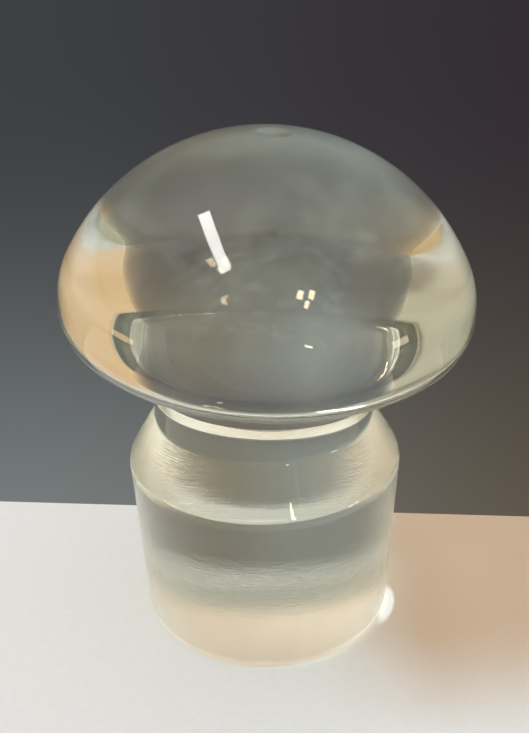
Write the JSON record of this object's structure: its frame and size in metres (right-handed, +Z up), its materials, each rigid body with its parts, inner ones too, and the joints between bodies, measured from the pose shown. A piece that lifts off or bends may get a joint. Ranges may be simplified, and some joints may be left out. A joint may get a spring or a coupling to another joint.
{
  "type": "glass stopper",
  "caption": "Solid clear glass stopper with a broad mushroom head, a flared neck, a rounded shoulder and a ground taper plug.",
  "frame": {"origin": "middle of the flat foot, on the plug's own axis", "axes": "+Z up the plug's axis from the foot to the head, +X the way the head leans"},
  "size_m": [0.0643, 0.0642, 0.0837],
  "materials": {
    "glass": "fire-polished clear glass with a faint grey-green tint, finely ground on the taper"
  },
  "bodies": {
    "root": {"stopper": "glass"}
  },
  "joints": []
}
